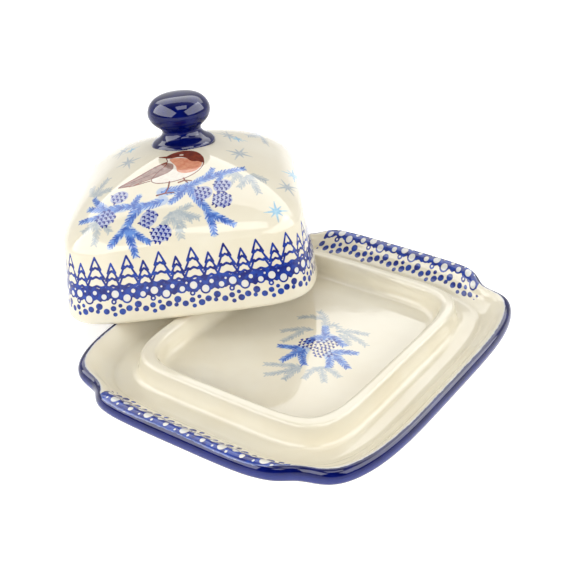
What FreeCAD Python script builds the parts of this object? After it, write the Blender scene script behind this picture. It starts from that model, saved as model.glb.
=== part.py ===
import FreeCAD, Part
import math
import os

# Butter dish: a glazed stoneware tray with a raised collar round the butter, and a loaf-shaped
# cover with a round knob. Millimetres. The origin is the middle of the tray's foot, on the table,
# +X runs along the tray towards one tab handle and +Z is up. The cover is shown taken off and
# leaning: it rests on the tray's collar and rim, and on the table behind the tray.

# --- Tray: outline seen from above ---
TRAY_HALF_LENGTH = 90.2
TRAY_HALF_WIDTH = 73.7
TRAY_SQUARENESS = 4.1
SHOULDER_ANGLE = 32.0          # degrees from +X, where a tab handle meets the corner
SHOULDER_SPREAD = 6.0          # degrees
SHOULDER_DEPTH = 5.4
TAB_HALF_ANGLE = 22.0          # degrees from +X covered by a tab handle
TAB_FADE_ANGLE = 8.0

# --- Tray: groove and heights ---
GROOVE_HALF_LENGTH = 74.0
GROOVE_HALF_WIDTH = 61.5
GROOVE_SQUARENESS = 4.6
GROOVE_HEIGHT = 8.1
RIM_HEIGHT = 15.4
TAB_LIFT = 1.4
SHOULDER_DIP = 0.7

# --- Collar and butter well ---
COLLAR_HALF_LENGTH = 62.0
COLLAR_HALF_WIDTH = 49.7
COLLAR_SQUARENESS = 6.0
COLLAR_HEIGHT = 17.5
WELL_FLOOR_HEIGHT = 8.0

# --- Cover ---
COVER_HALF_LENGTH = 72.0
COVER_HALF_WIDTH = 58.2
COVER_SQUARENESS = 5.5
COVER_CROWN_SQUARENESS = 3.0
COVER_HEIGHT = 59.7
COVER_SHOULDER_HEIGHT = 31.4
COVER_DOME_POWER = 1.6
COVER_TAPER = 0.0595           # share of its width that the wall loses up to the shoulder
COVER_WALL = 4.8
COVER_CROWN_THICKNESS = 5.6
COVER_EDGE_RADIUS = 1.9
COVER_MOUTH_EASE = 1.2

# --- Knob ---
KNOB_FLANGE_RADIUS = 15.1
KNOB_NECK_RADIUS = 9.2
KNOB_HEAD_RADIUS = 14.8
KNOB_FLANGE_TOP = 59.3         # heights above the cover's mouth
KNOB_NECK_HEIGHT = 64.2
KNOB_HEAD_HEIGHT = 73.0
KNOB_TOP = 81.8
KNOB_OFF_CENTRE = -2.4         # along the cover's width: the knob was set on by hand

# --- Where the cover lies ---
COVER_CENTRE_X = 33.8
COVER_CENTRE_Y = 85.9
COVER_CENTRE_Z = 11.37
COVER_YAW = 37.3               # degrees between the cover's long axis and the tray's
COVER_TILT = 8.12              # degrees
COVER_TILT_DIRECTION = 79.1    # degrees from +X, the way the knob leans

POINTS_AROUND = 120
PLATE_SECTIONS = 34
COLLAR_SECTIONS = 16
UP = FreeCAD.Vector(0, 0, 1)


def superellipse_radius(half_x, half_y, power, angle):
    """Distance from the centre to a rounded rectangle, in the direction of the angle."""
    across = abs(math.cos(angle) / half_x) ** power
    along = abs(math.sin(angle) / half_y) ** power
    return (across + along) ** (-1.0 / power)


def angle_from_tab(angle):
    """Degrees between a direction and the nearer end of the tray's long axis."""
    return math.degrees(math.atan2(abs(math.sin(angle)), abs(math.cos(angle))))


def shoulder(angle):
    """One at the four shoulders beside the tab handles, fading to nothing around them."""
    return math.exp(-((angle_from_tab(angle) - SHOULDER_ANGLE) / SHOULDER_SPREAD) ** 2)


def tab(angle):
    """One over a tab handle, nothing along the plain sides and corners."""
    past_tab = (angle_from_tab(angle) - TAB_HALF_ANGLE) / TAB_FADE_ANGLE
    share = min(max(past_tab, 0.0), 1.0)
    return 0.5 + 0.5 * math.cos(math.pi * share)


def closed_wire(point_at):
    """A smooth closed wire through points taken at even angles round +Z."""
    points = []
    for step in range(POINTS_AROUND):
        points.append(point_at(2.0 * math.pi * step / POINTS_AROUND))
    curve = Part.BSplineCurve()
    curve.interpolate(Points=points, PeriodicFlag=True)
    return Part.Wire([curve.toShape()])


def skin(wires):
    """A solid skinned smoothly through wires, closed by flat ends."""
    solid = Part.makeLoft(wires, True, False)
    if solid.Volume < 0:
        solid.reverse()
    return solid


def rounded_wire(half_x, half_y, power, height):
    """A level rounded-rectangle wire."""
    def point_at(angle):
        radius = superellipse_radius(half_x, half_y, power, angle)
        return FreeCAD.Vector(radius * math.cos(angle), radius * math.sin(angle), height)
    return closed_wire(point_at)


def rim_wire(inward, height, lift_share):
    """A wire of the tray's rim; inward runs from 0 at the outline to 1 at the groove."""
    depth = SHOULDER_DEPTH * max(1.0 - inward, 0.0)
    def point_at(angle):
        outside = superellipse_radius(TRAY_HALF_LENGTH, TRAY_HALF_WIDTH, TRAY_SQUARENESS, angle)
        groove = superellipse_radius(GROOVE_HALF_LENGTH, GROOVE_HALF_WIDTH, GROOVE_SQUARENESS, angle)
        radius = outside + (groove - outside) * inward - depth * shoulder(angle)
        lift = TAB_LIFT * tab(angle) - SHOULDER_DIP * shoulder(angle)
        return FreeCAD.Vector(radius * math.cos(angle), radius * math.sin(angle), height + lift_share * lift)
    return closed_wire(point_at)


def even_sections(stations, count):
    """Points at even distances along a smooth curve through stations of up to three values."""
    curve = Part.BSplineCurve()
    curve.interpolate(Points=[FreeCAD.Vector(*station) for station in stations])
    return curve.discretize(Number=count)


def make_plate():
    """The tray without its collar: foot, flared underside, rolled lip and concave rim."""
    # Each station is how far inward of the outline it lies in millimetres, its height, and how
    # much of the tab handles' lift it takes, in millimetres at full lift.
    rim_depth = TRAY_HALF_WIDTH - GROOVE_HALF_WIDTH
    stations = [
        (16.0, 0.0, 0.0),
        (12.0, 1.6, 0.0),
        (7.5, 4.5, 0.3),
        (4.0, 6.8, 0.6),
        (1.6, 8.5, 0.9),
        (0.4, 10.0, 1.1),
        (0.0, 11.7, 1.2),
        (0.3, RIM_HEIGHT - 1.8, 1.3),
        (1.1, RIM_HEIGHT - 0.5, 1.4),
        (2.4, RIM_HEIGHT, 1.4),
        (4.2, RIM_HEIGHT - 0.7, 1.4),
        (6.4, 12.3, 1.2),
        (9.0, 10.0, 0.7),
        (11.5, 8.7, 0.2),
        (rim_depth, GROOVE_HEIGHT, 0.0),
    ]
    sections = []
    for inward, height, lift in even_sections(stations, PLATE_SECTIONS):
        sections.append(rim_wire(inward / rim_depth, height, lift / TAB_LIFT))
    return skin(sections)


def collar_wire(outward, height):
    """A level wire round the collar, outward of its outer top edge."""
    return rounded_wire(COLLAR_HALF_LENGTH + outward, COLLAR_HALF_WIDTH + outward, COLLAR_SQUARENESS, height)


def make_collar():
    """The raised wall round the butter, with a filleted foot and a rounded top."""
    # Each station is how far outward of the collar's outer top edge it lies, its height, and a
    # third value that a collar doesn't need.
    stations = [
        (4.6, GROOVE_HEIGHT - 0.9, 0),
        (3.0, GROOVE_HEIGHT + 0.15, 0),
        (2.0, GROOVE_HEIGHT + 0.9, 0),
        (1.4, GROOVE_HEIGHT + 2.4, 0),
        (0.8, COLLAR_HEIGHT - 3.6, 0),
        (0.45, COLLAR_HEIGHT - 1.5, 0),
        (0.1, COLLAR_HEIGHT - 0.6, 0),
        (-0.5, COLLAR_HEIGHT - 0.1, 0),
        (-1.4, COLLAR_HEIGHT, 0),
    ]
    return skin([collar_wire(outward, height) for outward, height, _ in even_sections(stations, COLLAR_SECTIONS)])


def make_well():
    """The space for the butter, as the solid that is cut out of the collar."""
    # Stations as in the collar.
    stations = [
        (-10.0, WELL_FLOOR_HEIGHT, 0),
        (-8.0, WELL_FLOOR_HEIGHT + 0.35, 0),
        (-6.8, WELL_FLOOR_HEIGHT + 1.3, 0),
        (-6.1, WELL_FLOOR_HEIGHT + 3.0, 0),
        (-5.5, COLLAR_HEIGHT - 3.2, 0),
        (-4.9, COLLAR_HEIGHT - 1.3, 0),
        (-4.3, COLLAR_HEIGHT - 0.4, 0),
        (-3.3, COLLAR_HEIGHT + 0.1, 0),
        (-1.0, COLLAR_HEIGHT + 0.5, 0),
    ]
    return skin([collar_wire(outward, height) for outward, height, _ in even_sections(stations, COLLAR_SECTIONS)])


def make_tray():
    """The whole tray as one solid."""
    body = make_plate().fuse(make_collar())
    body = body.cut(make_well())
    return body.Solids[0]


def cover_share(height, shoulder_height, top_height):
    """How wide the cover is at a height, as a share of its width at the mouth."""
    wall = 1.0 - COVER_TAPER * min(height, shoulder_height) / shoulder_height
    if height <= shoulder_height:
        return wall
    climbed = (height - shoulder_height) / (top_height - shoulder_height)
    return wall * (1.0 - climbed ** COVER_DOME_POWER) ** (1.0 / COVER_DOME_POWER)


def cover_squareness(height):
    """How square the cover is at a height: it turns rounder from the shoulder to the crown."""
    climbed = max(height - COVER_SHOULDER_HEIGHT, 0.0) / (COVER_HEIGHT - COVER_SHOULDER_HEIGHT)
    return COVER_SQUARENESS + (COVER_CROWN_SQUARENESS - COVER_SQUARENESS) * climbed


def cover_wire(inset, height, share):
    """A level wire of the cover, inset from its outer surface and narrowed by a share."""
    half_x = (COVER_HALF_LENGTH - inset) * share
    half_y = (COVER_HALF_WIDTH - inset) * share
    return rounded_wire(half_x, half_y, cover_squareness(height), height)


def dome_heights(shoulder_height, top_height, steps, last_climb):
    """Heights of the sections above the shoulder, closer together towards the top."""
    heights = []
    for step in range(1, steps + 1):
        climb = last_climb * math.sin(0.5 * math.pi * step / steps)
        heights.append(shoulder_height + climb * (top_height - shoulder_height))
    return heights


def make_cover_outside():
    """The cover's outer form, filled."""
    sections = [
        cover_wire(COVER_EDGE_RADIUS, 0.0, 1.0),
        cover_wire(0.3 * COVER_EDGE_RADIUS, 0.3 * COVER_EDGE_RADIUS, 1.0),
        cover_wire(0.0, COVER_EDGE_RADIUS, cover_share(COVER_EDGE_RADIUS, COVER_SHOULDER_HEIGHT, COVER_HEIGHT)),
    ]
    for height in (0.3 * COVER_SHOULDER_HEIGHT, 0.65 * COVER_SHOULDER_HEIGHT, COVER_SHOULDER_HEIGHT):
        share = cover_share(height, COVER_SHOULDER_HEIGHT, COVER_HEIGHT)
        sections.append(cover_wire(0.0, height, share))
    for height in dome_heights(COVER_SHOULDER_HEIGHT, COVER_HEIGHT, 9, 0.985):
        share = cover_share(height, COVER_SHOULDER_HEIGHT, COVER_HEIGHT)
        sections.append(cover_wire(0.0, height, share))
    return skin(sections)


def make_cover_inside():
    """The hollow under the cover."""
    shoulder_height = COVER_SHOULDER_HEIGHT - 1.5
    top_height = COVER_HEIGHT - COVER_CROWN_THICKNESS
    ease = COVER_MOUTH_EASE
    sections = [
        cover_wire(COVER_WALL - 1.6 * ease, -0.5 * ease, 1.0),
        cover_wire(COVER_WALL - 0.45 * ease, 0.45 * ease, 1.0),
        cover_wire(COVER_WALL, 1.8 * ease, cover_share(1.8 * ease, shoulder_height, top_height)),
    ]
    for height in (0.3 * shoulder_height, 0.65 * shoulder_height, shoulder_height):
        sections.append(cover_wire(COVER_WALL, height, cover_share(height, shoulder_height, top_height)))
    for height in dome_heights(shoulder_height, top_height, 9, 0.985):
        sections.append(cover_wire(COVER_WALL, height, cover_share(height, shoulder_height, top_height)))
    return skin(sections)


def make_knob(cover_outside):
    """The round knob, shaped to sit on the cover's crown."""
    below_crown = COVER_HEIGHT - 8.0
    neck_bend = 0.5 * (KNOB_FLANGE_RADIUS + KNOB_NECK_RADIUS) - 0.9
    profile = Part.BSplineCurve()
    profile.interpolate(Points=[
        FreeCAD.Vector(KNOB_FLANGE_RADIUS, 0, KNOB_FLANGE_TOP - 1.0),
        FreeCAD.Vector(KNOB_FLANGE_RADIUS - 0.9, 0, KNOB_FLANGE_TOP + 0.1),
        FreeCAD.Vector(neck_bend, 0, KNOB_FLANGE_TOP + 1.9),
        FreeCAD.Vector(KNOB_NECK_RADIUS, 0, KNOB_NECK_HEIGHT),
        FreeCAD.Vector(KNOB_HEAD_RADIUS - 2.6, 0, KNOB_HEAD_HEIGHT - 5.2),
        FreeCAD.Vector(KNOB_HEAD_RADIUS, 0, KNOB_HEAD_HEIGHT),
        FreeCAD.Vector(0.78 * KNOB_HEAD_RADIUS, 0, KNOB_TOP - 2.6),
        FreeCAD.Vector(0.4 * KNOB_HEAD_RADIUS, 0, KNOB_TOP - 0.5),
        FreeCAD.Vector(0, 0, KNOB_TOP),
    ])
    top_point = FreeCAD.Vector(0, 0, KNOB_TOP)
    axis_bottom = FreeCAD.Vector(0, 0, below_crown)
    edge_bottom = FreeCAD.Vector(KNOB_FLANGE_RADIUS, 0, below_crown)
    edge_top = FreeCAD.Vector(KNOB_FLANGE_RADIUS, 0, KNOB_FLANGE_TOP - 1.0)
    outline = Part.Wire([
        Part.makeLine(axis_bottom, edge_bottom),
        Part.makeLine(edge_bottom, edge_top),
        profile.toShape(),
        Part.makeLine(top_point, axis_bottom),
    ])
    turned = Part.makeSolid(Part.Face(outline).revolve(FreeCAD.Vector(0, 0, 0), UP, 360).Shells[0])
    turned.translate(FreeCAD.Vector(0, KNOB_OFF_CENTRE, 0))
    return turned.cut(cover_outside).Solids[0]


def lay_down(shape):
    """Move a shape from the cover's own axes to where the cover lies."""
    heading = math.radians(COVER_TILT_DIRECTION)
    tilt_axis = FreeCAD.Vector(-math.sin(heading), math.cos(heading), 0)
    turn = FreeCAD.Rotation(tilt_axis, COVER_TILT).multiply(FreeCAD.Rotation(UP, COVER_YAW))
    centre = FreeCAD.Vector(COVER_CENTRE_X, COVER_CENTRE_Y, COVER_CENTRE_Z)
    placed = shape.copy()
    placed.transformShape(FreeCAD.Placement(centre, turn).toMatrix(), True)
    return placed


def main():
    """Write one STEP file for each piece."""
    os.makedirs("parts", exist_ok=True)
    cover_outside = make_cover_outside()
    cover = cover_outside.cut(make_cover_inside()).Solids[0]
    knob = make_knob(cover_outside)
    pieces = {
        "tray": make_tray(),
        "cover": lay_down(cover),
        "knob": lay_down(knob),
    }
    for name, shape in pieces.items():
        shape.exportStep(os.path.join("parts", name + ".step"))
        box = shape.BoundBox
        print(name, shape.ShapeType, shape.isValid(), round(shape.Volume), len(shape.Faces),
              [round(value, 2) for value in (box.XMin, box.YMin, box.ZMin, box.XMax, box.YMax, box.ZMax)])


main()
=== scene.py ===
import math

import bpy
import numpy as np
from mathutils import Matrix, Vector


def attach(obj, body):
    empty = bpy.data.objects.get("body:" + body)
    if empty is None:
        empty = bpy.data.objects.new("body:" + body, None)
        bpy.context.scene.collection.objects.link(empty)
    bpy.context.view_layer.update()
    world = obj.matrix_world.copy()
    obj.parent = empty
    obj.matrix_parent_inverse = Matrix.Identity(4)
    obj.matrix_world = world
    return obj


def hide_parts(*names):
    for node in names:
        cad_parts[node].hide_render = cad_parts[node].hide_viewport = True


# Butter dish in glazed stoneware: a tray with a cobalt lip, a loaf-shaped cover leaning on it, and
# the cover's cobalt knob. Lengths are in millimetres up to the point where a mesh is made.
# The decoration is painted as signed distances in millimetres, kept on each mesh as one attribute
# for each colour: below zero is inside the paint. The materials turn them into crisp edges.

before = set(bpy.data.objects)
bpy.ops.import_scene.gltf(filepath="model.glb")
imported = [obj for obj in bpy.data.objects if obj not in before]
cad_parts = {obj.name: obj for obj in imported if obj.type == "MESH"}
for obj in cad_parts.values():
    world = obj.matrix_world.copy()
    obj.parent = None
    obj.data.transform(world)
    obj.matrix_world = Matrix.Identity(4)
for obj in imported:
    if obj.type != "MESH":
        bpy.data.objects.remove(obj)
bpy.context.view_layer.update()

MM = 0.001
FAR = 9.0                      # mm, the distance kept where there is no paint nearby

# --- Tray, as in the CAD ---
TRAY_HALF_LENGTH = 90.2
TRAY_HALF_WIDTH = 73.7
TRAY_SQUARENESS = 4.1
SHOULDER_ANGLE = 32.0
SHOULDER_SPREAD = 6.0
SHOULDER_DEPTH = 5.4
TAB_HALF_ANGLE = 22.0
TAB_FADE_ANGLE = 8.0
GROOVE_HALF_LENGTH = 74.0
GROOVE_HALF_WIDTH = 61.5
GROOVE_SQUARENESS = 4.6
GROOVE_HEIGHT = 8.1
RIM_HEIGHT = 15.4
CREST_INWARD = 2.4             # from the outline in to the highest line of the rim
TAB_LIFT = 1.4
SHOULDER_DIP = 0.7
COLLAR_HALF_LENGTH = 62.0
COLLAR_HALF_WIDTH = 49.7
COLLAR_SQUARENESS = 6.0
COLLAR_HEIGHT = 17.5
WELL_FLOOR_HEIGHT = 8.0
TAB_BORDER_HALF_LENGTH = 42.0
TAB_BORDER_START = 3.0
TAB_BORDER_ABOVE_CREST = 2.2   # how far over the crest the stamped border begins
TAB_LIP_SET_BACK = 1.9         # how much further out the cobalt lip begins on the tab handles
TRAY_COLUMNS = 1500            # vertices round the tray
WELL_MOTIF_CENTRE = (8.0, -1.0)
WELL_MOTIF_HEADING = -56.78    # degrees
# Marks kept with each row of the tray, beyond any distance from the crest of its rim.
IN_GROOVE = FAR + 20.0
ON_COLLAR = FAR + 30.0
ON_WELL_FLOOR = FAR + 40.0
UNDER_FOOT = FAR + 60.0

# --- Cover, as in the CAD ---
COVER_HALF_LENGTH = 72.0
COVER_HALF_WIDTH = 58.2
COVER_SQUARENESS = 5.5
COVER_CROWN_SQUARENESS = 3.0
COVER_HEIGHT = 59.7
COVER_SHOULDER_HEIGHT = 31.4
COVER_DOME_POWER = 1.6
COVER_TAPER = 0.0595
COVER_WALL = 4.8
COVER_CROWN_THICKNESS = 5.6
COVER_EDGE_RADIUS = 1.9
COVER_CENTRE = (33.8, 85.9, 11.37)
COVER_YAW = 37.3
COVER_TILT = 8.12
COVER_TILT_DIRECTION = 79.1
COVER_COLUMNS = 1240           # vertices round the cover
BIRD_RISE = 35.0               # degrees: the slope that the bird is painted on

# --- Knob, as in the CAD ---
KNOB_FLANGE_RADIUS = 15.1
KNOB_NECK_RADIUS = 9.2
KNOB_HEAD_RADIUS = 14.8
KNOB_FLANGE_TOP = 59.3
KNOB_NECK_HEIGHT = 64.2
KNOB_HEAD_HEIGHT = 73.0
KNOB_TOP = 81.8
KNOB_OFF_CENTRE = -2.4

# --- Camera ---
CAMERA_DISTANCE = 480.34       # mm from the middle of the foot
CAMERA_AZIMUTH = 213.22        # degrees from +X
CAMERA_ELEVATION = 33.72
CAMERA_AIM = (9.7, 14.7, 26.7)
CAMERA_ROLL = -0.44
CAMERA_LENS = 68.18


# ---------------------------------------------------------------- outlines and meshes

def superellipse_radius(half_x, half_y, power, angle):
    """Distance from the centre to a rounded rectangle, in the direction of each angle."""
    across = np.abs(np.cos(angle) / half_x) ** power
    along = np.abs(np.sin(angle) / half_y) ** power
    return (across + along) ** (-1.0 / power)


def even_angles(half_x, half_y, power, count):
    """Directions that cut a rounded rectangle into equal lengths, and the length at each."""
    fine = np.linspace(0.0, 2.0 * np.pi, 7201)
    radius = superellipse_radius(half_x, half_y, power, fine)
    steps = np.hypot(np.diff(radius * np.cos(fine)), np.diff(radius * np.sin(fine)))
    length = np.concatenate([[0.0], np.cumsum(steps)])
    wanted = length[-1] * np.arange(count) / count
    return np.interp(wanted, length, fine), wanted, length[-1]


def smooth_path(stations, spacing):
    """Evenly spaced points along a natural cubic spline through stations, one row each."""
    stations = np.array(stations, float)
    knots = np.concatenate([[0.0], np.cumsum(np.linalg.norm(np.diff(stations, axis=0), axis=1))])
    gaps = np.diff(knots)
    count = len(stations)
    system = np.eye(count)
    target = np.zeros(stations.shape)
    for row in range(1, count - 1):
        system[row, row - 1:row + 2] = gaps[row - 1], 2.0 * (gaps[row - 1] + gaps[row]), gaps[row]
        rise = (stations[row + 1] - stations[row]) / gaps[row]
        target[row] = 6.0 * (rise - (stations[row] - stations[row - 1]) / gaps[row - 1])
    bend = np.linalg.solve(system, target)
    at = np.linspace(0.0, knots[-1], max(int(knots[-1] / spacing), 4))
    span = np.clip(np.searchsorted(knots, at) - 1, 0, count - 2)
    gap = gaps[span][:, None]
    after = (at - knots[span])[:, None]
    before = gap - after
    return ((bend[span] * before ** 3 + bend[span + 1] * after ** 3) / (6.0 * gap)
            + (stations[span] / gap - bend[span] * gap / 6.0) * before
            + (stations[span + 1] / gap - bend[span + 1] * gap / 6.0) * after)


def make_mesh(name, rows, attributes):
    """A closed skin over rows of points; the first and last rows shrink to one point each."""
    count, columns = rows.shape[:2]
    body = rows[1:-1].reshape(-1, 3)
    points = np.concatenate([rows[:1].mean(axis=1), body, rows[-1:].mean(axis=1)]) * MM
    column = np.arange(columns)
    after = (column + 1) % columns
    start = 1 + columns * np.arange(count - 3)[:, None]
    quads = np.stack([start + column, start + after, start + columns + after, start + columns + column], -1)
    last = 1 + columns * (count - 3)
    bottom = np.stack([np.zeros(columns, int), 1 + after, 1 + column], -1)
    top = np.stack([np.full(columns, len(points) - 1), last + column, last + after], -1)
    corners = np.concatenate([bottom.ravel(), quads.ravel(), top.ravel()]).astype(np.int32)
    sizes = np.concatenate([np.full(columns, 3), np.full(quads.size // 4, 4), np.full(columns, 3)])
    mesh = bpy.data.meshes.new(name)
    mesh.vertices.add(len(points))
    mesh.vertices.foreach_set("co", points.astype(np.float32).ravel())
    mesh.loops.add(len(corners))
    mesh.loops.foreach_set("vertex_index", corners)
    mesh.polygons.add(len(sizes))
    mesh.polygons.foreach_set("loop_start", np.concatenate([[0], np.cumsum(sizes)[:-1]]).astype(np.int32))
    mesh.update(calc_edges=True)
    mesh.polygons.foreach_set("use_smooth", np.ones(len(sizes), bool))
    for key, values in attributes.items():
        flat = np.concatenate([[values[0].mean()], values[1:-1].ravel(), [values[-1].mean()]])
        mesh.attributes.new(key, "FLOAT", "POINT").data.foreach_set("value", flat.astype(np.float32))
    piece = bpy.data.objects.new(name, mesh)
    bpy.context.scene.collection.objects.link(piece)
    return piece


# ---------------------------------------------------------------- paint

class Paint:
    """Colours laid on a chart: p runs right and q up, in millimetres, one value for each vertex."""

    def __init__(self, p, q, allowed, layers):
        self.p = p
        self.q = q
        self.allowed = allowed
        self.layers = layers

    def lay(self, colour, middle, reach, distance):
        """Add a shape, given its signed distance, to the vertices within reach of its middle."""
        near = self.allowed & (np.abs(self.p - middle[0]) < reach) & (np.abs(self.q - middle[1]) < reach)
        if near.any():
            layer = self.layers[colour]
            layer[near] = np.minimum(layer[near], distance(self.p[near], self.q[near]))


def segment_distance(p, q, start, end, start_radius, end_radius):
    """Signed distance to a round-ended stroke whose radius changes along it."""
    along = np.array([end[0] - start[0], end[1] - start[1]])
    share = ((p - start[0]) * along[0] + (q - start[1]) * along[1]) / (along @ along + 1e-9)
    share = np.clip(share, 0.0, 1.0)
    off = np.hypot(p - start[0] - share * along[0], q - start[1] - share * along[1])
    return off - start_radius - (end_radius - start_radius) * share


def stroke(paint, colour, points, start_radius, end_radius):
    """A brush stroke through points, tapering from one radius to the other."""
    points = np.array(points, float)
    count = len(points) - 1
    for index in range(count):
        start = points[index]
        end = points[index + 1]
        first = start_radius + (end_radius - start_radius) * index / count
        last = start_radius + (end_radius - start_radius) * (index + 1) / count
        reach = 0.5 * np.hypot(*(end - start)) + max(start_radius, end_radius) + 1.5
        paint.lay(colour, 0.5 * (start + end), reach,
                  lambda p, q, a=start, b=end, r=first, s=last: segment_distance(p, q, a, b, r, s))


def curve_through(points, closed, steps=6):
    """A smooth curve through a few points, as a longer list of points."""
    points = np.array(points, float)
    count = len(points)
    spans = count if closed else count - 1
    made = []
    for index in range(spans):
        if closed:
            four = points[[(index - 1) % count, index, (index + 1) % count, (index + 2) % count]]
        else:
            four = points[[max(index - 1, 0), index, index + 1, min(index + 2, count - 1)]]
        for step in range(steps):
            t = step / steps
            made.append(0.5 * (2.0 * four[1] + (four[2] - four[0]) * t
                               + (2.0 * four[0] - 5.0 * four[1] + 4.0 * four[2] - four[3]) * t * t
                               + (3.0 * four[1] - four[0] - 3.0 * four[2] + four[3]) * t ** 3))
    if not closed:
        made.append(points[-1])
    return np.array(made)


def polygon_distance(p, q, outline):
    """Signed distance to a closed outline, below zero inside."""
    nearest = np.full(p.shape, 1e9)
    inside = np.zeros(p.shape, bool)
    for start, end in zip(outline, np.roll(outline, -1, axis=0)):
        nearest = np.minimum(nearest, segment_distance(p, q, start, end, 0.0, 0.0))
        crosses = (start[1] > q) != (end[1] > q)
        rise = end[1] - start[1]
        across = start[0] + (q - start[1]) * (end[0] - start[0]) / (rise if abs(rise) > 1e-9 else 1e-9)
        inside ^= crosses & (p < across)
    return np.where(inside, -nearest, nearest)


def patch(paint, colour, points):
    """A filled patch with a smooth outline through points."""
    outline = curve_through(points, True)
    middle = 0.5 * (outline.min(axis=0) + outline.max(axis=0))
    reach = 0.5 * (outline.max(axis=0) - outline.min(axis=0)).max() + 2.0
    paint.lay(colour, middle, reach, lambda p, q: polygon_distance(p, q, outline))


def point_at(line, travelled, at):
    """The point of a line at a distance travelled along it."""
    return np.array([np.interp(at, travelled, line[:, 0]), np.interp(at, travelled, line[:, 1])])


def needles(paint, stem, length, random, needle, wash, pitch=1.5):
    """A spray of pine needles along a stem, over a pale wash."""
    line = curve_through(stem, False)
    steps = np.hypot(*np.diff(line, axis=0).T)
    travelled = np.concatenate([[0.0], np.cumsum(steps)])
    total = travelled[-1]
    if wash:
        stroke(paint, wash, line, 0.78 * length, 0.45 * length)
    stroke(paint, needle, line, 0.6, 0.4)
    for side in (-1.0, 1.0):
        for at in np.arange(0.4, total, pitch):
            at = min(max(at + random.uniform(-0.2, 0.2), 0.0), total)
            root = point_at(line, travelled, at)
            ahead_at = min(at + 0.6, total)
            back_at = ahead_at - 1.2
            ahead = point_at(line, travelled, ahead_at) - point_at(line, travelled, back_at)
            heading = math.atan2(ahead[1], ahead[0]) + side * math.radians(random.uniform(34.0, 46.0))
            reach = length * random.uniform(0.85, 1.12) * (1.0 - 0.3 * at / total)
            tip = root + reach * np.array([math.cos(heading), math.sin(heading)])
            stroke(paint, needle, [root, tip], 0.42, 0.26)


def sprig(paint, root, heading, size, random, needle, wash=None):
    """Three short sprays fanning out from one root."""
    root = np.array(root, float)
    for turn, share in ((-48.0, 0.72), (2.0, 1.0), (50.0, 0.76)):
        angle = math.radians(heading + turn)
        ahead = np.array([math.cos(angle), math.sin(angle)])
        side = np.array([-ahead[1], ahead[0]])
        tip = root + size * share * ahead
        middle = root + 0.5 * size * share * ahead + 0.06 * size * side
        needles(paint, [root, middle, tip], 0.26 * size, random, needle, wash, 1.3)


def oval(middle, heading, length, width):
    """Eight points round an oval whose length lies along the heading, in degrees."""
    turn = math.radians(heading)
    ahead = np.array([math.cos(turn), math.sin(turn)])
    side = np.array([-ahead[1], ahead[0]])
    points = []
    for angle in np.linspace(0.0, 2.0 * np.pi, 9)[:-1]:
        out = 0.5 * (length * math.cos(angle) * ahead + width * math.sin(angle) * side)
        points.append(np.array(middle) + out)
    return points


def cone(paint, colour, middle, heading, length, width):
    """A pine cone of overlapping scales in staggered rows, its tip along the heading."""
    turn = math.radians(heading)
    ahead = np.array([math.cos(turn), math.sin(turn)])
    side = np.array([-ahead[1], ahead[0]])
    row_gap = 1.75
    scale_gap = 2.2
    rows = int(length / row_gap)
    for row in range(rows):
        along = (row - 0.5 * (rows - 1)) * row_gap
        spread = 0.5 * width * math.sqrt(max(1.0 - (1.9 * along / length) ** 2, 0.0))
        shift = 0.5 * scale_gap * (row % 2)
        for place in np.arange(-3, 4) * scale_gap + shift:
            if abs(place) > spread:
                continue
            centre = np.array(middle) + (along - 0.04 * place * place) * ahead + place * side
            wide = 0.58 * side
            back = 0.3 * ahead
            stroke(paint, colour, [centre - wide - back, centre + back, centre + wide - back], 0.38, 0.38)


def snowflake(paint, colour, middle, size, turn, squash=1.0):
    """Eight pointed arms, long and short in turn."""
    middle = np.array(middle, float)
    for arm in range(8):
        angle = math.radians(turn + 45.0 * arm)
        reach = size * (1.0 if arm % 2 == 0 else 0.68)
        tip = middle + reach * np.array([math.cos(angle), squash * math.sin(angle)])
        stroke(paint, colour, [middle, tip], 0.11 * size + 0.14, 0.14)


# ---------------------------------------------------------------- stamped borders

# Tiers of one tree: top and bottom as shares of its height, then its widths there as shares of its width.
TREE_TIERS = ((1.0, 0.6, 0.0, 0.5), (0.66, 0.3, 0.26, 0.8), (0.36, 0.0, 0.46, 1.0))
# Circles of one stamp: along, below the top line, radius.
STAMP_HOLES = ((0.0, 3.0, 1.65), (5.1, 5.1, 1.6), (-5.2, 4.0, 1.2), (8.2, 2.2, 0.95), (3.3, 1.7, 0.45),
               (-3.0, 1.6, 0.5), (-0.9, 6.4, 0.48))
STAMP_DOTS = ((-7.8, 8.3, 1.6), (-4.6, 10.6, 1.4), (-1.4, 9.4, 1.3), (1.8, 8.3, 0.95), (2.6, 11.0, 1.5),
              (-0.8, 12.1, 1.0), (5.7, 9.7, 1.45), (-8.7, 10.6, 1.0))
STAMP_PERIOD = 17.58
STAMP_RING = 0.78              # mm of blue around each circle
# Both patterns are stretched a little, so that a whole number of each goes round the cover.
STAMP_START = 2.9
TREE_PERIOD = 14.8
TREE_START = 4.1
BORDER_LINE = 17.0             # mm from the cover's mouth to the line that the trees stand on


def folded(along, period):
    """Position within one period, from minus a half to plus a half of it."""
    return (along + 0.5 * period) % period - 0.5 * period


def stamp_holes(along, below):
    """Distance to the nearest plain circle of the stamped border."""
    nearest = np.full(along.shape, FAR)
    for centre, depth, radius in STAMP_HOLES:
        off = np.hypot(folded(along - centre, STAMP_PERIOD), below - depth) - radius
        nearest = np.minimum(nearest, off)
    return nearest


def stamp_band(along, below):
    """Distance to the blue ground of the stamped border."""
    rings = stamp_holes(along, below) - STAMP_RING
    ripple = 0.22 * np.sin(1.9 * along) + 0.15 * np.sin(0.73 * along + 1.0)
    ground = np.maximum(-below + ripple, below - 5.5 - 2.0 * ripple)
    return np.minimum(rings, ground)


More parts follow.
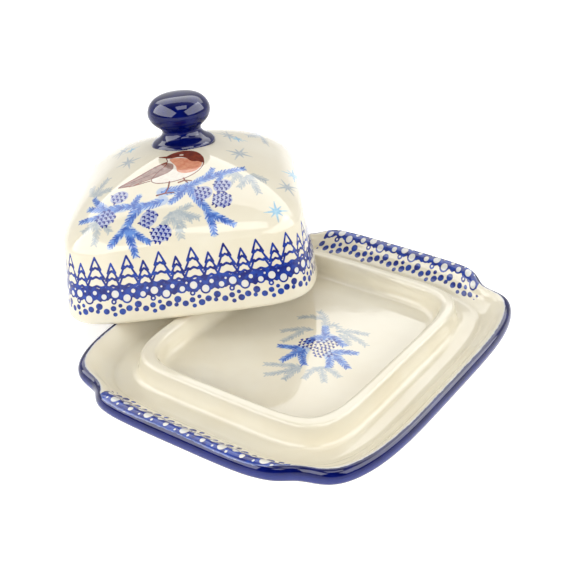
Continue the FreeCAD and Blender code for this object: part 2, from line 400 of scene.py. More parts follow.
def stamp_dots(along, below):
    """Distance to the nearest loose dot of the stamped border."""
    nearest = np.full(along.shape, FAR)
    for centre, depth, radius in STAMP_DOTS:
        off = np.hypot(folded(along - centre, STAMP_PERIOD), (below - depth) * 1.06) - radius
        nearest = np.minimum(nearest, off)
    return nearest


def tree_lines(along, above, height, width):
    """Distance to the lines of one pine tree that stands on the border's top line."""
    nearest = np.full(along.shape, FAR)
    across = np.abs(along)
    for top, bottom, narrow, wide in TREE_TIERS:
        side = segment_distance(across, above, (0.5 * width * narrow, top * height),
                                (0.5 * width * wide, bottom * height), 0.42, 0.54)
        drips = 0.34 * np.cos(across * 2.0 * np.pi / (0.42 * width * wide + 0.4))
        hem = np.abs(above - bottom * height - 0.5 - drips) - 0.6
        hem = np.maximum(hem, across - 0.5 * width * wide)
        nearest = np.minimum(nearest, np.minimum(side, hem))
    return nearest


def tree_insides(along, above, height, width):
    """Distance to the body of one pine tree, which keeps its neighbours from showing through."""
    nearest = np.full(along.shape, FAR)
    across = np.abs(along)
    for top, bottom, narrow, wide in TREE_TIERS:
        share = (top * height - above) / ((top - bottom) * height)
        half = 0.5 * width * (narrow + (wide - narrow) * np.clip(share, 0.0, 1.0))
        body = np.maximum(across - half, np.maximum(above - top * height, bottom * height - above))
        nearest = np.minimum(nearest, body)
    return nearest


BIG_TREE = (13.5, 9.8)
SMALL_TREE = (10.6, 7.0)


def tree_row(along, above, period):
    """Distance to the lines of big and small trees in turn."""
    big = folded(along, period)
    small = folded(along - 0.5 * period, period)
    behind = tree_lines(small, above, *SMALL_TREE)
    behind = np.maximum(behind, -tree_insides(big, above, *BIG_TREE))
    return np.minimum(tree_lines(big, above, *BIG_TREE), behind)


# ---------------------------------------------------------------- motifs

def songbird(paint):
    """A small round songbird standing on the branch."""
    body = [(-4.6, 35.0), (-1.0, 37.6), (4.0, 38.4), (8.8, 36.8), (11.6, 33.0), (12.0, 28.4), (9.0, 24.0),
            (3.6, 21.0), (-3.0, 19.6), (-9.0, 19.8), (-11.5, 22.0), (-8.5, 26.5), (-5.2, 30.0), (-4.4, 32.6)]
    patch(paint, "white_ink", body)
    breast = [(-3.4, 33.6), (0.6, 34.0), (4.6, 33.0), (7.6, 31.0), (11.2, 30.0), (10.6, 26.8), (7.6, 24.4),
              (3.2, 24.0), (0.2, 25.6), (-0.6, 29.0)]
    patch(paint, "breast_ink", breast)
    cap = [(-5.4, 35.4), (-1.4, 37.8), (4.0, 38.6), (9.0, 37.0), (12.0, 33.0), (12.0, 29.4), (9.8, 30.4),
           (6.4, 31.2), (4.2, 33.4), (0.6, 34.6), (-3.2, 34.2)]
    patch(paint, "cap_ink", cap)
    stroke(paint, "cap_ink", [(-4.0, 35.2), (-8.4, 36.0)], 0.9, 0.15)
    wing = [(-5.0, 31.6), (-1.8, 30.2), (-2.2, 26.8), (-7.0, 24.0), (-14.0, 21.9), (-22.0, 20.4),
            (-26.2, 20.6), (-20.0, 24.0), (-13.0, 27.4), (-8.6, 30.4)]
    patch(paint, "wing_ink", wing)
    outline = curve_through(body, True)
    stroke(paint, "cap_ink", np.concatenate([outline, outline[:1]]), 0.22, 0.22)
    wing_top = curve_through([(-5.0, 31.8), (-10.0, 29.6), (-18.0, 25.0), (-26.4, 20.8)], False)
    stroke(paint, "cap_ink", wing_top, 0.45, 0.25)
    stroke(paint, "cap_ink", [(-26.4, 20.5), (-19.5, 20.2), (-12.0, 21.6)], 0.4, 0.25)
    stroke(paint, "cap_ink", [(-24.0, 21.4), (-14.0, 24.6), (-6.0, 27.8)], 0.18, 0.12)
    stroke(paint, "cap_ink", [(-21.5, 19.9), (-12.5, 22.6), (-4.0, 25.4)], 0.18, 0.12)
    # Legs and toes.
    for points in (
            [(-3.4, 19.8), (-4.0, 16.4), (-5.4, 13.6)], [(-9.2, 12.9), (-5.4, 13.6), (-1.6, 13.6)],
            [(3.0, 21.0), (3.4, 19.6)], [(0.6, 18.8), (3.4, 19.7), (6.4, 19.0)], [(3.4, 19.7), (4.6, 18.2)]):
        stroke(paint, "cap_ink", points, 0.42, 0.3)
    stroke(paint, "eye_ink", [(1.6, 35.9), (2.5, 35.8)], 0.5, 0.5)


def branches(paint, random):
    """Pine branches with cones under the bird."""
    blue = ("needle_ink", "wash_ink")
    for stem, length in (
            ([(-6.5, 10.0), (-13.0, 8.0), (-20.0, 8.6), (-27.0, 9.0)], 3.2),
            ([(-24.0, 8.8), (-32.0, 9.0), (-40.0, 11.6)], 3.0),
            ([(-27.0, 8.8), (-35.0, 5.8), (-43.5, 5.6)], 2.8),
            ([(-33.0, 10.5), (-36.5, 14.5), (-38.0, 17.6)], 2.4),
            ([(-16.0, 8.0), (-20.5, 3.0), (-23.0, -3.0)], 3.2),
            ([(-22.6, -1.5), (-21.2, -8.0), (-20.0, -14.0)], 3.0),
            ([(-22.8, -2.0), (-27.0, -6.0), (-30.5, -9.6)], 2.8),
            ([(-22.0, -2.5), (-17.0, -7.0), (-13.5, -9.6)], 2.6),
            ([(-20.0, 8.6), (-18.0, 12.0), (-16.6, 14.0)], 2.2),
            ([(-6.8, 14.4), (0.0, 15.0), (7.0, 17.0), (12.0, 19.6)], 3.2),
            ([(10.0, 18.4), (18.0, 21.0), (29.5, 24.0)], 2.8),
            ([(13.0, 20.0), (15.5, 23.4), (16.0, 24.6)], 2.2),
            ([(4.0, 16.0), (0.0, 10.8), (-3.4, 8.2)], 2.8),
            ([(5.0, 16.2), (8.0, 9.6), (12.0, 3.4), (14.4, -2.0)], 3.2),
            ([(13.0, 1.0), (14.0, -4.6), (14.6, -9.4)], 2.8),
            ([(13.6, 0.4), (18.6, -3.0), (23.4, -6.2)], 2.8),
            ([(20.0, 20.6), (17.6, 16.0), (17.0, 14.0)], 2.0)):
        needles(paint, stem, length, random, *blue)
    for middle, heading, length, width in (
            ((-25.9, 14.8), 15.0, 8.4, 6.6), ((-31.7, 4.6), 35.0, 8.8, 7.2), ((-13.0, 1.4), 55.0, 9.2, 7.0),
            ((-8.0, -6.4), 20.0, 9.4, 7.4), ((11.2, 11.4), 10.0, 8.4, 7.2), ((19.9, 14.2), 25.0, 8.4, 6.8),
            ((19.3, 6.6), -10.0, 9.0, 7.4)):
        patch(paint, "conewash_ink", oval(middle, heading, length, width))
        cone(paint, "cone_ink", middle, heading, length, width)


def grey_sprigs(paint, random):
    """Pale grey sprigs behind the branches, and snowflakes beside them."""
    for root, heading, size in (
            ((-38.0, 19.0), 60.0, 11.0), ((-36.0, 4.0), 262.0, 11.0), ((-3.5, 3.0), 285.0, 13.0),
            ((-1.0, 2.0), 340.0, 10.0), ((31.0, 19.5), 290.0, 11.0), ((27.0, 21.0), 235.0, 8.0)):
        sprig(paint, root, heading, size, random, "grey_ink")
    snowflake(paint, "grey_ink", (-23.4, 37.6), 6.2, 12.0, 0.9)
    snowflake(paint, "grey_ink", (28.3, 35.7), 6.2, -20.0, 0.9)
    snowflake(paint, "star_ink", (42.0, -1.3), 5.4, 5.0)
    snowflake(paint, "grey_ink", (48.4, 14.2), 5.6, 25.0)
    snowflake(paint, "star_ink", (52.3, 26.4), 5.6, 0.0)


def well_motif(paint, random):
    """Three cones among needles, with grey sprigs above and below, on the floor of the well."""
    for stem in (
            [(1.0, 14.5), (2.0, 21.0), (-0.4, 27.5)], [(0.5, 21.0), (-4.0, 23.0), (-9.5, 22.4)],
            [(2.0, 14.0), (6.0, 16.0), (8.0, 13.0)], [(-4.0, 12.0), (-10.0, 12.5), (-17.0, 11.0)],
            [(-8.0, 11.5), (-12.0, 7.0), (-17.0, 2.5)], [(7.0, 10.5), (13.0, 10.5), (20.5, 8.0)],
            [(10.0, 9.5), (15.0, 4.5), (19.0, -0.5)], [(8.0, 8.0), (11.0, 4.0), (11.6, -0.5)],
            [(-9.0, -17.0), (-16.0, -16.0), (-23.5, -15.5)], [(-10.0, -17.5), (-16.0, -21.0), (-23.5, -23.0)],
            [(-9.0, -18.0), (-13.0, -22.0), (-15.8, -26.5)], [(-1.0, -17.5), (-5.0, -21.0), (-7.6, -26.0)],
            [(-0.5, -17.5), (0.0, -22.0), (0.6, -28.0)], [(0.5, -17.5), (4.0, -20.0), (7.0, -25.0)]):
        needles(paint, stem, 2.8, random, "grey_ink", None, 1.4)
    for stem in ([(1.0, 4.0), (1.8, 9.0), (1.8, 14.5)], [(1.0, 6.0), (-3.0, 5.0), (-6.5, 1.5)],
                 [(3.0, 6.5), (6.5, 4.0), (9.4, -0.6)], [(-8.5, -3.2), (-12.5, -2.4), (-18.0, -1.2)],
                 [(-9.0, -4.0), (-12.5, -8.0), (-16.8, -12.2)], [(-7.5, -4.0), (-8.6, -9.0), (-7.9, -15.0)],
                 [(4.5, -6.5), (9.0, -6.0), (14.8, -7.0)], [(5.0, -8.0), (7.6, -12.0), (10.4, -17.6)],
                 [(3.0, -8.5), (3.4, -12.0), (2.8, -17.0)]):
        needles(paint, stem, 3.2, random, "needle_ink", "wash_ink")
    for middle, heading in (((-6.0, 0.8), 165.0), ((3.0, 0.8), 15.0), ((0.0, -6.2), 190.0)):
        cone(paint, "cone_ink", middle, heading, 9.4, 7.4)


# ---------------------------------------------------------------- tray

def shoulder(from_tab):
    """One at the four shoulders beside the tab handles, fading to nothing around them."""
    return np.exp(-((from_tab - SHOULDER_ANGLE) / SHOULDER_SPREAD) ** 2)


def tab(from_tab):
    """One over a tab handle, nothing along the plain sides and corners."""
    return 0.5 + 0.5 * np.cos(np.pi * np.clip((from_tab - TAB_HALF_ANGLE) / TAB_FADE_ANGLE, 0.0, 1.0))


def make_tray(random):
    """The tray as one closed skin, from under the foot to the middle of the well."""
    angle, _, _ = even_angles(TRAY_HALF_LENGTH, TRAY_HALF_WIDTH, TRAY_SQUARENESS, TRAY_COLUMNS)
    from_tab = np.degrees(np.arctan2(np.abs(np.sin(angle)), np.abs(np.cos(angle))))
    outside = superellipse_radius(TRAY_HALF_LENGTH, TRAY_HALF_WIDTH, TRAY_SQUARENESS, angle)
    groove = superellipse_radius(GROOVE_HALF_LENGTH, GROOVE_HALF_WIDTH, GROOVE_SQUARENESS, angle)
    rim_depth = TRAY_HALF_WIDTH - GROOVE_HALF_WIDTH
    lift_shape = TAB_LIFT * tab(from_tab) - SHOULDER_DIP * shoulder(from_tab)

    def ring(radius, height):
        return np.stack([radius * np.cos(angle), radius * np.sin(angle), height + 0.0 * angle], -1)

    def rim_ring(inward, height, lift):
        share = inward / rim_depth
        pinch = SHOULDER_DEPTH * max(1.0 - share, 0.0) * shoulder(from_tab)
        return ring(outside + (groove - outside) * share - pinch, height + lift / TAB_LIFT * lift_shape)

    def collar_ring(outward, height):
        return ring(superellipse_radius(COLLAR_HALF_LENGTH + outward, COLLAR_HALF_WIDTH + outward,
                                        COLLAR_SQUARENESS, angle), height)

    rim_path = smooth_path([
        (16.0, 0.0, 0.0), (12.0, 1.6, 0.0), (7.5, 4.5, 0.3), (4.0, 6.8, 0.6), (1.6, 8.5, 0.9),
        (0.4, 10.0, 1.1), (0.0, 11.7, 1.2), (0.3, RIM_HEIGHT - 1.8, 1.3), (1.1, RIM_HEIGHT - 0.5, 1.4),
        (CREST_INWARD, RIM_HEIGHT, 1.4), (4.2, RIM_HEIGHT - 0.7, 1.4), (6.4, 12.3, 1.2), (9.0, 10.0, 0.7),
        (11.5, 8.7, 0.2), (rim_depth, GROOVE_HEIGHT, 0.0)], 0.38)
    collar_path = smooth_path([
        (4.3, GROOVE_HEIGHT), (3.0, GROOVE_HEIGHT + 0.15), (2.0, GROOVE_HEIGHT + 0.9),
        (1.4, GROOVE_HEIGHT + 2.4), (0.8, COLLAR_HEIGHT - 3.6), (0.45, COLLAR_HEIGHT - 1.5),
        (0.1, COLLAR_HEIGHT - 0.6), (-0.5, COLLAR_HEIGHT - 0.1), (-1.4, COLLAR_HEIGHT),
        (-2.6, COLLAR_HEIGHT), (-3.5, COLLAR_HEIGHT - 0.05), (-4.3, COLLAR_HEIGHT - 0.4),
        (-4.9, COLLAR_HEIGHT - 1.3), (-5.5, COLLAR_HEIGHT - 3.2),
        (-6.1, WELL_FLOOR_HEIGHT + 3.0), (-6.8, WELL_FLOOR_HEIGHT + 1.3), (-8.0, WELL_FLOOR_HEIGHT + 0.35),
        (-10.0, WELL_FLOOR_HEIGHT)], 0.36)
    foot = rim_ring(16.0, 0.0, 0.0)
    rows = [foot * share for share in np.linspace(0.0, 1.0, 12)[:-1]]
    travelled = [UNDER_FOOT] * len(rows)
    # The crest is on the upper side of the rim, so lower rows are put out of the running.
    crest_row = int(np.argmin(np.abs(rim_path[:, 0] - CREST_INWARD) + 9.0 * (rim_path[:, 1] < 14.0)))
    lengths = np.concatenate([[0.0], np.cumsum(np.hypot(*np.diff(rim_path[:, :2], axis=0).T))])
    for at, (inward, height, lift) in zip(lengths, rim_path):
        rows.append(rim_ring(inward, height, lift))
        travelled.append(at - lengths[crest_row])
    for share in (0.35, 0.7):
        groove_ring = rim_ring(rim_depth, GROOVE_HEIGHT, 0.0)
        rows.append(groove_ring + (collar_ring(*collar_path[0]) - groove_ring) * share)
        travelled.append(IN_GROOVE)
    for outward, height in collar_path:
        rows.append(collar_ring(outward, height))
        travelled.append(ON_COLLAR)
    floor_edge = rows[-1]
    for share in np.linspace(1.0, 0.0, 116)[1:]:
        rows.append(floor_edge * [share, share, 1.0])
        travelled.append(ON_WELL_FLOOR)
    rows = np.array(rows)
    travelled = np.array(travelled)[:, None] + 0.0 * rows[:, :, 0]

    names = ("band_ink", "dot_ink", "hole_ink", "needle_ink", "wash_ink", "cone_ink", "grey_ink")
    layers = {name: np.full(rows.shape[:2], FAR) for name in names}
    # The stamped border on the tab handles, measured inward from the crest of the rim.
    on_rim = (travelled > -4.0) & (travelled < 22.0)
    along = -(rows[:, :, 1] + TAB_BORDER_START) * np.sign(rows[:, :, 0])
    below = travelled + TAB_BORDER_ABOVE_CREST
    past_end = np.abs(along) - TAB_BORDER_HALF_LENGTH
    fade = np.maximum(past_end, 0.0) * 0.5
    below_line = np.where(on_rim, below, FAR + 20.0)
    band = np.maximum(stamp_band(along, below_line), past_end - 1.0)
    layers["band_ink"][:] = np.clip(band, -FAR, FAR)
    layers["hole_ink"][:] = np.clip(stamp_holes(along, below_line) + fade, -FAR, FAR)
    layers["dot_ink"][:] = np.clip(stamp_dots(along, below_line) + 0.6 * fade, -FAR, FAR)
    in_well = travelled >= ON_COLLAR
    heading = math.radians(WELL_MOTIF_HEADING)
    p = rows[:, :, 0] * math.cos(heading) + rows[:, :, 1] * math.sin(heading)
    q = -rows[:, :, 0] * math.sin(heading) + rows[:, :, 1] * math.cos(heading)
    well_motif(Paint(p - WELL_MOTIF_CENTRE[0], q - WELL_MOTIF_CENTRE[1], in_well, layers), random)
    layers["lip"] = lip_distance(travelled, rows, TAB_LIP_SET_BACK * tab(from_tab))
    # Distance from the crest: beyond it the lip's outer face gets the paler tone, for thinner glaze and a
    # painted reflection.
    layers["crest"] = np.clip(travelled, -FAR, FAR)
    # Bare clay: the whole foot, and what lies almost as low outside the rim.
    above_foot = np.abs(rows[:, :, 2]) - 0.35 + 20.0 * (travelled > -10.0)
    layers["bare"] = np.where(travelled == UNDER_FOOT, -1.0, above_foot)
    return make_mesh("tray_glazed", rows, layers)


def lip_distance(travelled, rows, set_back):
    """Distance to the cobalt lip: it starts near the crest and runs down the outer face."""
    wander = 0.25 * np.sin(0.13 * rows[:, :, 0] + 0.5) * np.cos(0.11 * rows[:, :, 1])
    inner = travelled - 0.1 - wander + set_back
    outer = -13.5 - travelled + 2.0 * wander
    return np.clip(np.maximum(inner, outer), -FAR, FAR)


# ---------------------------------------------------------------- cover and knob

def cover_share(height, shoulder_height, top_height):
    """How wide the cover is at each height, as a share of its width at the mouth."""
    wall = 1.0 - COVER_TAPER * np.minimum(height, shoulder_height) / shoulder_height
    climbed = np.clip((height - shoulder_height) / (top_height - shoulder_height), 0.0, 1.0)
    return wall * (1.0 - climbed ** COVER_DOME_POWER) ** (1.0 / COVER_DOME_POWER)


def cover_squareness(height):
    """How square the cover is at each height: it turns rounder from the shoulder to the crown."""
    climbed = np.maximum(height - COVER_SHOULDER_HEIGHT, 0.0) / (COVER_HEIGHT - COVER_SHOULDER_HEIGHT)
    return COVER_SQUARENESS + (COVER_CROWN_SQUARENESS - COVER_SQUARENESS) * climbed


def lay_down(points):
    """Move points from the cover's own axes to where the cover lies."""
    heading = math.radians(COVER_TILT_DIRECTION)
    tilt = Matrix.Rotation(math.radians(COVER_TILT), 3, Vector((-math.sin(heading), math.cos(heading), 0.0)))
    turn = np.array(tilt @ Matrix.Rotation(math.radians(COVER_YAW), 3, "Z"))
    return points @ turn.T + np.array(COVER_CENTRE)


def dome_path(inset, shoulder_height, top_height):
    """Inset, height and share from the shoulder to the crown, finely spaced."""
    climb = np.sin(0.5 * np.pi * np.linspace(0.0, 1.0, 400)) ** (2.0 / COVER_DOME_POWER)
    height = shoulder_height + climb * (top_height - shoulder_height)
    share = cover_share(height, shoulder_height, top_height)
    share[-1] = 0.0
    return np.stack([np.full(400, inset), height, share], -1)


def wall_path(inset, low, shoulder_height, top_height):
    """Inset, height and share up the straight wall."""
    height = np.linspace(low, shoulder_height, 60)
    return np.stack([np.full(60, inset), height, cover_share(height, shoulder_height, top_height)], -1)


def respaced(path, spacing):
    """The same path with even spacing, given the spacing at the middle of the cover's side."""
    radius = (COVER_HALF_LENGTH - path[:, 0]) * path[:, 2]
    length = np.concatenate([[0.0], np.cumsum(np.hypot(np.diff(radius), np.diff(path[:, 1])))])
    wanted = np.linspace(0.0, length[-1], max(int(length[-1] / spacing), 3))
    return np.stack([np.interp(wanted, length, path[:, axis]) for axis in range(3)], -1)


def make_cover(random):
    """The cover as one closed skin, from the inside of the crown round the mouth to the outside."""
    angle, length, total = even_angles(COVER_HALF_LENGTH, COVER_HALF_WIDTH, COVER_SQUARENESS, COVER_COLUMNS)
    inner_shoulder = COVER_SHOULDER_HEIGHT - 1.5
    inner_top = COVER_HEIGHT - COVER_CROWN_THICKNESS
    inside = np.concatenate([dome_path(COVER_WALL, inner_shoulder, inner_top)[::-1],
                             wall_path(COVER_WALL, 2.0, inner_shoulder, inner_top)[::-1]])
    edge = COVER_EDGE_RADIUS
    corner = np.linspace(0.0, 0.5 * np.pi, 12)
    ease = 1.1
    across = np.cos(corner)
    up = np.sin(corner)
    full = np.ones(len(corner))
    mouth = np.concatenate([np.stack([COVER_WALL - ease + ease * across, 1.3 * ease * (1.0 - up), full], -1),
                            np.stack([edge - edge * up, edge * (1.0 - across), full], -1)])
    mouth[:, 2] = cover_share(mouth[:, 1], COVER_SHOULDER_HEIGHT, COVER_HEIGHT)
    outside = np.concatenate([wall_path(0.0, edge, COVER_SHOULDER_HEIGHT, COVER_HEIGHT)[1:],
                              dome_path(0.0, COVER_SHOULDER_HEIGHT, COVER_HEIGHT)[1:]])
    path = np.concatenate([respaced(inside, 1.2), respaced(mouth, 0.3)[1:], respaced(outside, 0.33)])
    outer_start = len(path) - len(respaced(outside, 0.33))
    rows = []
    for inset, height, share in path:
        power = cover_squareness(height)
        radius = superellipse_radius(COVER_HALF_LENGTH - inset, COVER_HALF_WIDTH - inset, power, angle)
        x = share * radius * np.cos(angle)
        y = share * radius * np.sin(angle)
        rows.append(np.stack([x, y, height + 0.0 * angle], -1))
    rows = np.array(rows)
    outer = np.zeros(rows.shape[:2], bool)
    outer[outer_start:] = True

    names = ("band_ink", "dot_ink", "hole_ink", "needle_ink", "wash_ink", "cone_ink", "conewash_ink",
             "grey_ink", "star_ink", "white_ink", "breast_ink", "wing_ink", "cap_ink", "eye_ink")
    layers = {name: np.full(rows.shape[:2], FAR) for name in names}
    # Distance along the mouth from the middle of the end that carries the bird.
    along = (length - 0.5 * total)[None, :] + 0.0 * rows[:, :, 0]
    height = rows[:, :, 2]
    line = BORDER_LINE + 0.15 * np.sin(0.09 * along)
    tree_period = total / round(total / TREE_PERIOD)
    stretch = STAMP_PERIOD * round(total / STAMP_PERIOD) / total
    trees = tree_row(along - TREE_START, height - line, tree_period)
    trees = np.where(height < line - 0.4, FAR, trees)
    stamped = (along - STAMP_START) * stretch
    band = stamp_band(stamped, line - height)
    layers["band_ink"][outer] = np.clip(np.minimum(trees, band), -FAR, FAR)[outer]
    layers["hole_ink"][outer] = np.clip(stamp_holes(stamped, line - height), -FAR, FAR)[outer]
    layers["dot_ink"][outer] = np.clip(stamp_dots(stamped, line - height), -FAR, FAR)[outer]
    # A star on each side of the knob, then the bird, facing out of each short end of the cover.
    rise = math.radians(BIRD_RISE)
    beside_knob = Paint(-rows[:, :, 1], rows[:, :, 0], outer & (height > 50.0), layers)
    snowflake(beside_knob, "star_ink", (-23.5, 6.6), 4.6, 0.0)
    snowflake(beside_knob, "star_ink", (27.6, 9.6), 4.8, 10.0)
    for facing in (-1.0, 1.0):
        p = facing * rows[:, :, 1]
        q = -facing * rows[:, :, 0] * math.sin(rise) + height * math.cos(rise)
        front = outer & (facing * rows[:, :, 0] > -14.0)
        paint = Paint(p, q, front, layers)
        grey_sprigs(paint, random)
        branches(paint, random)
        songbird(paint)
    layers["bare"] = np.where(outer, 3.0, height - 0.25 + 20.0 * (height > 3.0))
    layers["bare"] = np.maximum(layers["bare"], -1.0)
    return make_mesh("cover_glazed", lay_down(rows), layers)


def crown_height(x, y):
    """Height of the cover's outer surface over a point near its middle."""
    reach = np.hypot(x, y) + 1e-9
    angle = np.arctan2(y, x)
    height = COVER_HEIGHT
    # The outline turns rounder with height, so the height is found in a few rounds.
    for _ in range(8):
        base = superellipse_radius(COVER_HALF_LENGTH, COVER_HALF_WIDTH, cover_squareness(height), angle)
        share = np.clip(reach / base / (1.0 - COVER_TAPER), 0.0, 1.0)
        climbed = (1.0 - share ** COVER_DOME_POWER) ** (1.0 / COVER_DOME_POWER)
        height = COVER_SHOULDER_HEIGHT + climbed * (COVER_HEIGHT - COVER_SHOULDER_HEIGHT)
    return height


def make_knob():
    """The knob, seated on the cover's crown."""
    angle = 2.0 * np.pi * np.arange(220) / 220
    bend = 0.5 * (KNOB_FLANGE_RADIUS + KNOB_NECK_RADIUS) - 0.9
    path = smooth_path([
        (KNOB_FLANGE_RADIUS, KNOB_FLANGE_TOP - 1.0), (KNOB_FLANGE_RADIUS - 0.9, KNOB_FLANGE_TOP + 0.1),
        (bend, KNOB_FLANGE_TOP + 1.9), (KNOB_NECK_RADIUS, KNOB_NECK_HEIGHT),
        (KNOB_HEAD_RADIUS - 2.6, KNOB_HEAD_HEIGHT - 5.2), (KNOB_HEAD_RADIUS, KNOB_HEAD_HEIGHT),
        (0.78 * KNOB_HEAD_RADIUS, KNOB_TOP - 2.6), (0.4 * KNOB_HEAD_RADIUS, KNOB_TOP - 0.5),
        (0.0, KNOB_TOP)], 0.4)
    rows = []
    for radius in np.linspace(0.0, KNOB_FLANGE_RADIUS, 10):
        x = radius * np.cos(angle)
        y = radius * np.sin(angle)
        rows.append(np.stack([x, y, crown_height(x, y + KNOB_OFF_CENTRE)], -1))
    seat = rows[-1]
    for share in (0.3, 0.65):
        top = KNOB_FLANGE_TOP - 1.0
        rows.append(np.stack([seat[:, 0], seat[:, 1], seat[:, 2] + (top - seat[:, 2]) * share], -1))
    for radius, height in path:
        rows.append(np.stack([radius * np.cos(angle), radius * np.sin(angle), height + 0.0 * angle], -1))
    return make_mesh("knob_glazed", lay_down(np.array(rows) + [0.0, KNOB_OFF_CENTRE, 0.0]), {})


# ---------------------------------------------------------------- materials

def linear(red, green, blue):
    """A colour given as 0 to 255 screen values, as Blender's linear colour."""
    values = []
    for value in (red, green, blue):
        value = value / 255.0
        values.append(value / 12.92 if value <= 0.04045 else ((value + 0.055) / 1.055) ** 2.4)
    return (*values, 1.0)


class Nodes:
    """A short way to write a material's node tree."""

    def __init__(self, name):
        self.material = bpy.data.materials.new(name)
        self.material.use_nodes = True
        self.tree = self.material.node_tree
        self.tree.nodes.clear()
        self.place = self.add("ShaderNodeTexCoord").outputs["Object"]

    def add(self, kind, **settings):
        node = self.tree.nodes.new(kind)
        for key, value in settings.items():
            setattr(node, key, value)
        return node

    def link(self, value, socket):
        if isinstance(value, bpy.types.NodeSocket):
            self.tree.links.new(value, socket)
        else:
            socket.default_value = value

    def math(self, operation, first, second=0.0, third=None):
        node = self.add("ShaderNodeMath", operation=operation)
        self.link(first, node.inputs[0])
        self.link(second, node.inputs[1])
        if third is not None:
            self.link(third, node.inputs[2])
        return node.outputs[0]

    def noise(self, size_mm, detail=2.0, roughness=0.5):
        """Noise from 0 to 1 with features of a size in millimetres."""
        node = self.add("ShaderNodeTexNoise")
        self.link(self.place, node.inputs["Vector"])
        node.inputs["Scale"].default_value = 1.0 / (size_mm * MM)
        node.inputs["Detail"].default_value = detail
        node.inputs["Roughness"].default_value = roughness
        return node.outputs["Fac"]

    def ramp(self, value, low, high, low_out=0.0, high_out=1.0):
        node = self.add("ShaderNodeMapRange", interpolation_type="SMOOTHSTEP")
        self.link(value, node.inputs["Value"])
        node.inputs["From Min"].default_value = low
        node.inputs["From Max"].default_value = high
        node.inputs["To Min"].default_value = low_out
        node.inputs["To Max"].default_value = high_out
        return node.outputs["Result"]

    def mix(self, share, first, second, blend="MIX"):
        node = self.add("ShaderNodeMix", data_type="RGBA", blend_type=blend)
        self.link(share, node.inputs["Factor"])
        # The colour sockets of the mix node.
        self.link(first, node.inputs[6])
        self.link(second, node.inputs[7])
        return node.outputs[2]

    def distance(self, name):
        return self.add("ShaderNodeAttribute", attribute_name=name).outputs["Fac"]


def ink(nodes, colour, name, dark, pale, cover=0.95, soft=0.09, wobble=0.12):
    """Paint one layer over a colour: its edges wander a little and its depth varies."""
    edge = nodes.math("MULTIPLY_ADD", nodes.noise(0.9, 2.0), wobble, -0.5 * wobble)
    distance = nodes.math("ADD", nodes.distance(name), edge)
    inside = nodes.ramp(distance, soft, -soft)
    depth = nodes.ramp(nodes.noise(2.6, 3.0, 0.6), 0.36, 0.66)
    tone = nodes.mix(depth, dark, pale)
    share = nodes.math("MULTIPLY", inside, cover)
    return nodes.mix(share, colour, tone)


def glaze_ground(nodes):
    """Cream glaze with faint warm clouds where it is thicker."""
    clouds = nodes.ramp(nodes.noise(30.0, 3.0, 0.55), 0.3, 0.7)
    return nodes.mix(clouds, linear(212, 204, 182), linear(216, 210, 191))


def glossy(nodes, colour, coat=1.0, coat_ior=1.34, coat_roughness=0.045, bump_mm=0.007):
    """A clear gloss glaze over a colour, with a faint orange-peel ripple."""
    shader = nodes.add("ShaderNodeBsdfPrincipled")
    nodes.link(colour, shader.inputs["Base Color"])
    shader.inputs["Roughness"].default_value = 0.6
    shader.inputs["Specular IOR Level"].default_value = 0.0
    nodes.link(coat, shader.inputs["Coat Weight"])
    rough = nodes.ramp(nodes.noise(9.0, 3.0), 0.2, 0.8, 0.7 * coat_roughness, 1.4 * coat_roughness)
    nodes.link(rough, shader.inputs["Coat Roughness"])
    shader.inputs["Coat IOR"].default_value = coat_ior
    bump = nodes.add("ShaderNodeBump")
    peel = nodes.math("ADD", nodes.noise(3.4, 1.0), nodes.math("MULTIPLY", nodes.noise(11.0, 1.0), 2.2))
    nodes.link(peel, bump.inputs["Height"])
    bump.inputs["Distance"].default_value = bump_mm * MM
    bump.inputs["Strength"].default_value = 1.0
    nodes.link(bump.outputs["Normal"], shader.inputs["Normal"])
    nodes.link(bump.outputs["Normal"], shader.inputs["Coat Normal"])
    output = nodes.add("ShaderNodeOutputMaterial")
    nodes.link(shader.outputs[0], output.inputs["Surface"])
    return shader


COBALT_DARK = linear(0, 4, 62)
COBALT_PALE = linear(3, 14, 84)
# Paler lavender cobalt for the lip's outer face: thinner glaze there, and a painted reflection of the bright
# floor.
COBALT_THINNER_AND_REFLECTED = linear(52, 60, 122)
CLAY = linear(206, 180, 146)
HOLE_DARK = linear(214, 210, 198)
HOLE_PALE = linear(204, 206, 204)


def painted_glaze(name, layers, has_lip):
    """Cream glaze with painted layers, and bare clay where the piece stood in the kiln."""
    nodes = Nodes(name)
    colour = glaze_ground(nodes)
    for wanted in layers:
        if wanted["name"] == "hole_ink":
            colour = ink(nodes, colour, "hole_ink", HOLE_DARK, HOLE_PALE, 0.97, 0.1, 0.1)
        else:
            colour = ink(nodes, colour, **wanted)
    if has_lip:
        wander = nodes.math("MULTIPLY_ADD", nodes.noise(3.0), 0.7, -0.35)
        lip = nodes.math("ADD", nodes.distance("lip"), wander)
        bleed = nodes.ramp(lip, 0.75, -0.15)
        colour = nodes.mix(nodes.math("MULTIPLY", bleed, 0.45), colour, linear(150, 168, 214))
        tone = nodes.mix(nodes.ramp(nodes.noise(7.0, 2.0), 0.3, 0.7), COBALT_DARK, COBALT_PALE)
        # Below the crest the lip's outer face is painted paler: thinner glaze, and a painted reflection of
        # the bright floor.
        face_thinner_and_reflected = nodes.math("MULTIPLY", nodes.ramp(nodes.distance("crest"), -2.6, -5.2), 0.75)
        tone = nodes.mix(face_thinner_and_reflected, tone, COBALT_THINNER_AND_REFLECTED)
        colour = nodes.mix(nodes.ramp(lip, 0.12, -0.18), colour, tone)
    bare = nodes.ramp(nodes.distance("bare"), 0.12, -0.12)
    grain = nodes.mix(nodes.ramp(nodes.noise(0.7, 3.0), 0.35, 0.65), CLAY, linear(190, 162, 128))
    colour = nodes.mix(bare, colour, grain)
    glossy(nodes, colour, nodes.math("SUBTRACT", 1.0, bare))
    return nodes.material


